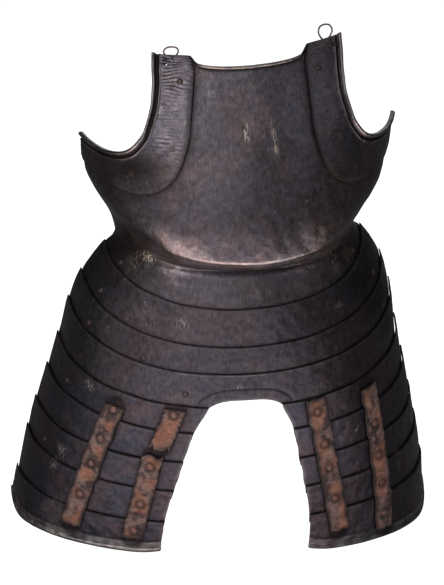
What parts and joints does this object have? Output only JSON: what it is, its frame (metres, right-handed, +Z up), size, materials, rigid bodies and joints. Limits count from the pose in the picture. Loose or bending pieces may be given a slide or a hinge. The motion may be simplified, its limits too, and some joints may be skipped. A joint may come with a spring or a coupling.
{
  "type": "breastplate with fauld and tassets",
  "caption": "Globose blackened steel breastplate with rolled neck and arm edges, a laminated waist skirt and two lamed thigh guards joined by riveted leather straps, hung from wire loops.",
  "frame": {"origin": "Midway between the tops of the two shoulders, level with them, in the plane of the side edges: where the piece hangs from its loops.", "axes": "+Z is up, -Y is the way that the front faces, and +X is the wearer's left, which is the viewer's right."},
  "size_m": [0.5345, 0.194, 0.6631],
  "materials": {
    "plate_steel": "blackened, hammer marked, rubbed bright on the ridges, lightly rusted",
    "gusset_steel": "blackened, hammer marked, worn pale along the rolled rim",
    "tasset_steel": "blackened, scratched, brown rust near the hem",
    "strap_leather": "old vegetable tanned leather, dried, cracked and rubbed",
    "rivet_iron": "domed iron heads, worn, slightly rusted",
    "loop_wire": "plain iron wire, dulled"
  },
  "bodies": {
    "root": {"breast_plate": "plate_steel", "gusset_right": "gusset_steel", "shoulder_loop_right": "loop_wire", "gusset_left": "gusset_steel", "shoulder_loop_left": "loop_wire", "fauld_lame_1": "plate_steel", "fauld_lame_2": "plate_steel", "fauld_lame_3": "plate_steel", "tasset_right_1": "tasset_steel", "tasset_right_2": "tasset_steel", "tasset_right_3": "tasset_steel", "tasset_right_4": "tasset_steel", "tasset_right_5": "tasset_steel", "tasset_left_1": "tasset_steel", "tasset_left_2": "tasset_steel", "tasset_left_3": "tasset_steel", "tasset_left_4": "tasset_steel", "tasset_left_5": "tasset_steel", "strap_right_outer": "strap_leather", "strap_right_inner_upper": "strap_leather", "strap_right_inner_lower": "strap_leather", "strap_left_inner": "strap_leather", "strap_left_outer": "strap_leather", "rivet_gusset_right": "rivet_iron", "rivet_gusset_left": "rivet_iron", "rivet_shoulder_left": "rivet_iron", "rivet_flange_right": "rivet_iron", "rivet_flange_left": "rivet_iron", "rivet_flange_front": "rivet_iron", "rivet_fauld_1_right": "rivet_iron", "rivet_fauld_1_left": "rivet_iron", "rivet_fauld_2_right": "rivet_iron", "rivet_fauld_2_left": "rivet_iron", "rivet_fauld_2_front": "rivet_iron", "rivet_fauld_3_right": "rivet_iron", "rivet_fauld_3_left": "rivet_iron", "rivet_tasset_1_right": "rivet_iron", "rivet_tasset_1_left": "rivet_iron", "rivet_tasset_3_right": "rivet_iron", "rivet_tasset_3_left": "rivet_iron", "rivet_strap_right_outer_1": "rivet_iron", "rivet_strap_right_outer_2": "rivet_iron", "rivet_strap_right_outer_3": "rivet_iron", "rivet_strap_right_outer_4": "rivet_iron", "rivet_strap_right_inner_upper_1": "rivet_iron", "rivet_strap_right_inner_lower_1": "rivet_iron", "rivet_strap_right_inner_lower_2": "rivet_iron", "rivet_strap_right_inner_lower_3": "rivet_iron", "rivet_strap_left_inner_1": "rivet_iron", "rivet_strap_left_inner_2": "rivet_iron", "rivet_strap_left_inner_3": "rivet_iron", "rivet_strap_left_inner_4": "rivet_iron", "rivet_strap_left_outer_1": "rivet_iron", "rivet_strap_left_outer_2": "rivet_iron", "rivet_strap_left_outer_3": "rivet_iron", "rivet_strap_left_outer_4": "rivet_iron"}
  },
  "joints": []
}
